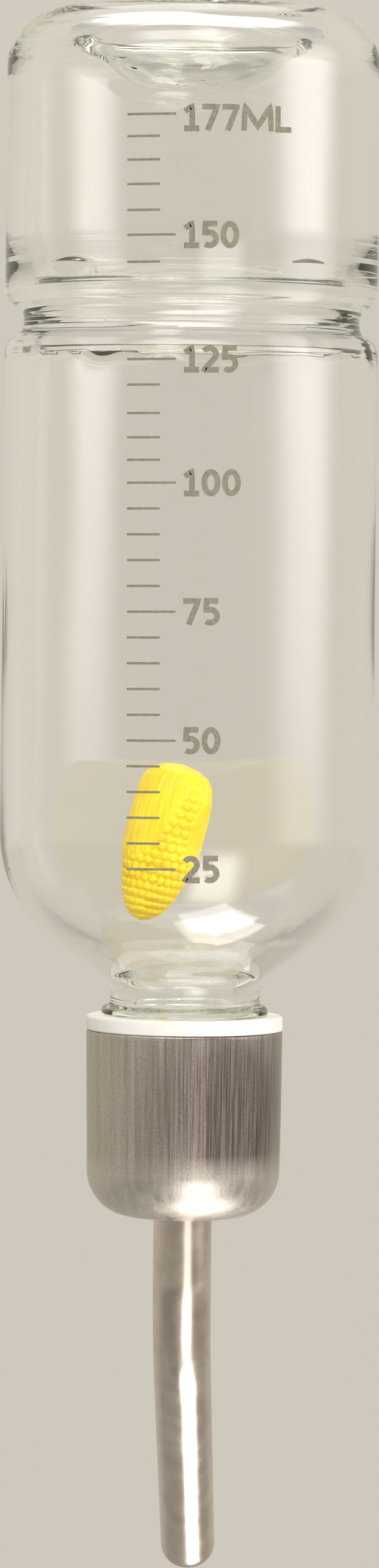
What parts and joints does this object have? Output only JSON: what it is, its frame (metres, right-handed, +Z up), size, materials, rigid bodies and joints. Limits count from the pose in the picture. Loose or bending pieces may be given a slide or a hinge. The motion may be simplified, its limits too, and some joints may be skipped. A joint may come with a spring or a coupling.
{
  "type": "rabbit water bottle",
  "caption": "Hanging glass drinking bottle for small animals, used neck down: hanger groove, screw cap in a drawn steel cover, bent steel ball-valve tube and a hollow float inside.",
  "frame": {"origin": "on the bottle's axis, halfway up the groove that the wire hanger grips", "axes": "+Z up along the bottle's axis, towards its base; the drinking tube bends towards +Y; the printed scale faces -Y"},
  "size_m": [0.0492, 0.0548, 0.2098],
  "materials": {
    "clear_glass": "clear soda-lime glass, faintly green in thick places",
    "yellow_plastic": "semi-gloss moulded yellow",
    "pale_rubber": "dull off-white",
    "white_plastic": "satin white",
    "cover_steel": "brushed along its length, dull warm grey",
    "tube_steel": "satin stainless",
    "ball_steel": "polished stainless"
  },
  "bodies": {
    "bottle": {"glass_bottle": "clear_glass"},
    "float": {"float_front_half": "yellow_plastic", "float_back_half": "yellow_plastic"},
    "seal": {"mouth_gasket": "pale_rubber"},
    "cap": {"screw_cap": "white_plastic", "tube_bushing": "pale_rubber", "steel_cover": "cover_steel"},
    "tube": {"drinking_tube": "tube_steel"},
    "ball_lower": {"valve_ball_lower": "ball_steel"},
    "ball_upper": {"valve_ball_upper": "ball_steel"}
  },
  "joints": [
    {"name": "float_rise", "type": "slide", "parent": "bottle", "child": "float", "axis": [0, 0, 1], "range_m": [0, 0.088]},
    {"name": "cap_travel", "type": "slide", "parent": "bottle", "child": "seal", "axis": [0, 0, -1], "range_m": [0, 0.01201]},
    {"name": "cap_turn", "type": "hinge", "parent": "seal", "child": "cap", "pos_m": [0, 0, -0.1], "axis": [0, 0, -1], "range_deg": [0, 1350]},
    {"name": "tube_swivel", "type": "hinge", "parent": "cap", "child": "tube", "pos_m": [0, 0, -0.11], "axis": [0, 0, 1], "continuous": true},
    {"name": "ball_lower_push", "type": "slide", "parent": "tube", "child": "ball_lower", "axis": [-0.0275, -0.6555, 0.7547], "range_m": [0, 0.0025]},
    {"name": "ball_upper_push", "type": "slide", "parent": "tube", "child": "ball_upper", "axis": [-0.0275, -0.6555, 0.7547], "range_m": [0, 0.0025]}
  ],
  "couplings": [
    {"joint": "cap_travel", "follows": "cap_turn", "m_per_rad": 0.0005093},
    {"joint": "ball_upper_push", "follows": "ball_lower_push", "ratio": 1}
  ]
}
